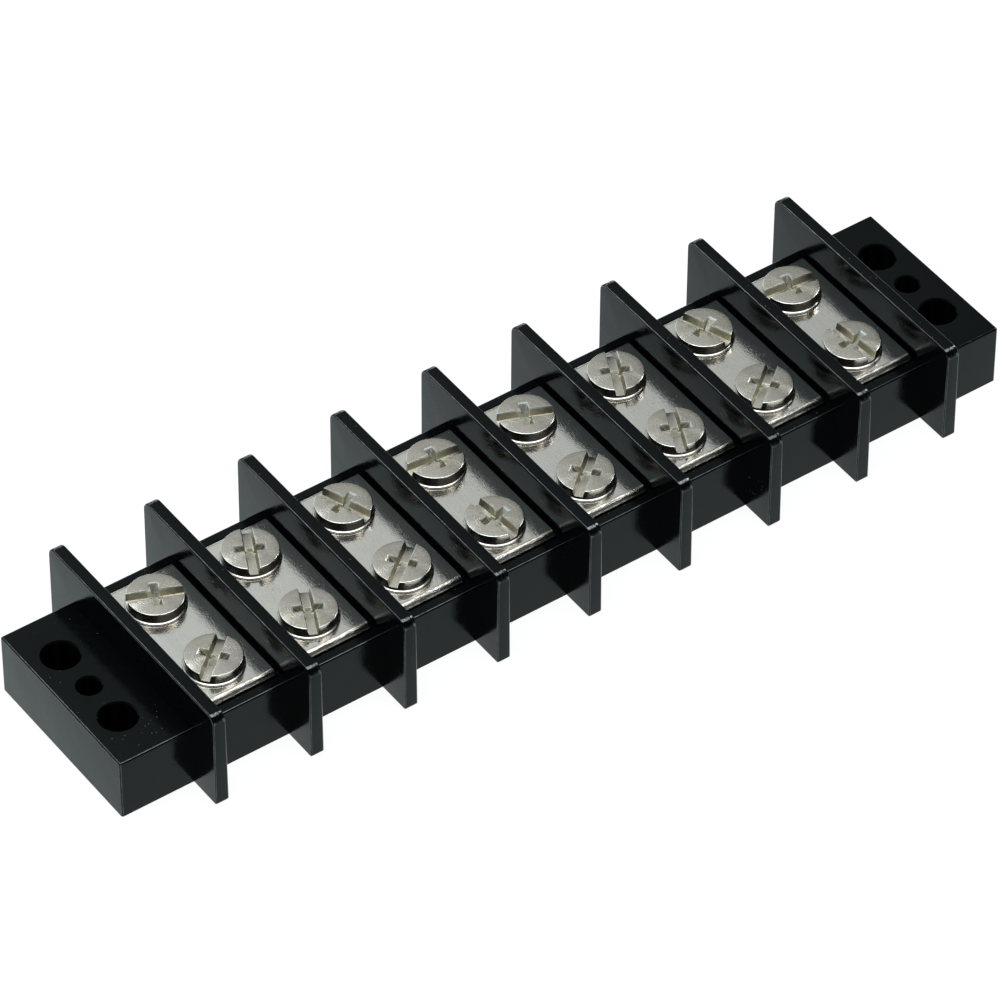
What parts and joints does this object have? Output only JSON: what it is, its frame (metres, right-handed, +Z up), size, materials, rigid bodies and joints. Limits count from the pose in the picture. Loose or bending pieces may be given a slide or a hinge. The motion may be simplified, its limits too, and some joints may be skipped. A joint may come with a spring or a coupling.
{
  "type": "terminal block",
  "caption": "Double-row barrier terminal block: a black moulded strip with tall barriers, folded metal plates with combination-head clamp screws, and drilled end ears.",
  "frame": {"origin": "middle of the mounting base", "axes": "+X along the strip of terminals, +Y across it towards the back row of screws, +Z up out of the base"},
  "size_m": [0.1376, 0.0376, 0.0151],
  "materials": {
    "black_moulding": "glossy black thermoset moulding",
    "nickel_plate": "satin nickel plating on folded brass",
    "nickel_screw": "nickel plating with fine turned rings on the heads"
  },
  "bodies": {
    "block": {"housing": "black_moulding", "terminal_plate_1": "nickel_plate", "terminal_plate_2": "nickel_plate", "terminal_plate_3": "nickel_plate", "terminal_plate_4": "nickel_plate", "terminal_plate_5": "nickel_plate", "terminal_plate_6": "nickel_plate", "terminal_plate_7": "nickel_plate", "terminal_plate_8": "nickel_plate"},
    "screw_back_1": {"screw_back_1": "nickel_screw"},
    "screw_front_1": {"screw_front_1": "nickel_screw"},
    "screw_back_2": {"screw_back_2": "nickel_screw"},
    "screw_front_2": {"screw_front_2": "nickel_screw"},
    "screw_back_3": {"screw_back_3": "nickel_screw"},
    "screw_front_3": {"screw_front_3": "nickel_screw"},
    "screw_back_4": {"screw_back_4": "nickel_screw"},
    "screw_front_4": {"screw_front_4": "nickel_screw"},
    "screw_back_5": {"screw_back_5": "nickel_screw"},
    "screw_front_5": {"screw_front_5": "nickel_screw"},
    "screw_back_6": {"screw_back_6": "nickel_screw"},
    "screw_front_6": {"screw_front_6": "nickel_screw"},
    "screw_back_7": {"screw_back_7": "nickel_screw"},
    "screw_front_7": {"screw_front_7": "nickel_screw"},
    "screw_back_8": {"screw_back_8": "nickel_screw"},
    "screw_front_8": {"screw_front_8": "nickel_screw"}
  },
  "joints": [
    {"name": "screw_back_1_lift", "type": "slide", "parent": "block", "child": "screw_back_1", "axis": [0, 0, 1], "range_m": [0, 0.004]},
    {"name": "screw_front_1_lift", "type": "slide", "parent": "block", "child": "screw_front_1", "axis": [0, 0, 1], "range_m": [0, 0.004]},
    {"name": "screw_back_2_lift", "type": "slide", "parent": "block", "child": "screw_back_2", "axis": [0, 0, 1], "range_m": [0, 0.004]},
    {"name": "screw_front_2_lift", "type": "slide", "parent": "block", "child": "screw_front_2", "axis": [0, 0, 1], "range_m": [0, 0.004]},
    {"name": "screw_back_3_lift", "type": "slide", "parent": "block", "child": "screw_back_3", "axis": [0, 0, 1], "range_m": [0, 0.004]},
    {"name": "screw_front_3_lift", "type": "slide", "parent": "block", "child": "screw_front_3", "axis": [0, 0, 1], "range_m": [0, 0.004]},
    {"name": "screw_back_4_lift", "type": "slide", "parent": "block", "child": "screw_back_4", "axis": [0, 0, 1], "range_m": [0, 0.004]},
    {"name": "screw_front_4_lift", "type": "slide", "parent": "block", "child": "screw_front_4", "axis": [0, 0, 1], "range_m": [0, 0.004]},
    {"name": "screw_back_5_lift", "type": "slide", "parent": "block", "child": "screw_back_5", "axis": [0, 0, 1], "range_m": [0, 0.004]},
    {"name": "screw_front_5_lift", "type": "slide", "parent": "block", "child": "screw_front_5", "axis": [0, 0, 1], "range_m": [0, 0.004]},
    {"name": "screw_back_6_lift", "type": "slide", "parent": "block", "child": "screw_back_6", "axis": [0, 0, 1], "range_m": [0, 0.004]},
    {"name": "screw_front_6_lift", "type": "slide", "parent": "block", "child": "screw_front_6", "axis": [0, 0, 1], "range_m": [0, 0.004]},
    {"name": "screw_back_7_lift", "type": "slide", "parent": "block", "child": "screw_back_7", "axis": [0, 0, 1], "range_m": [0, 0.004]},
    {"name": "screw_front_7_lift", "type": "slide", "parent": "block", "child": "screw_front_7", "axis": [0, 0, 1], "range_m": [0, 0.004]},
    {"name": "screw_back_8_lift", "type": "slide", "parent": "block", "child": "screw_back_8", "axis": [0, 0, 1], "range_m": [0, 0.004]},
    {"name": "screw_front_8_lift", "type": "slide", "parent": "block", "child": "screw_front_8", "axis": [0, 0, 1], "range_m": [0, 0.004]}
  ]
}
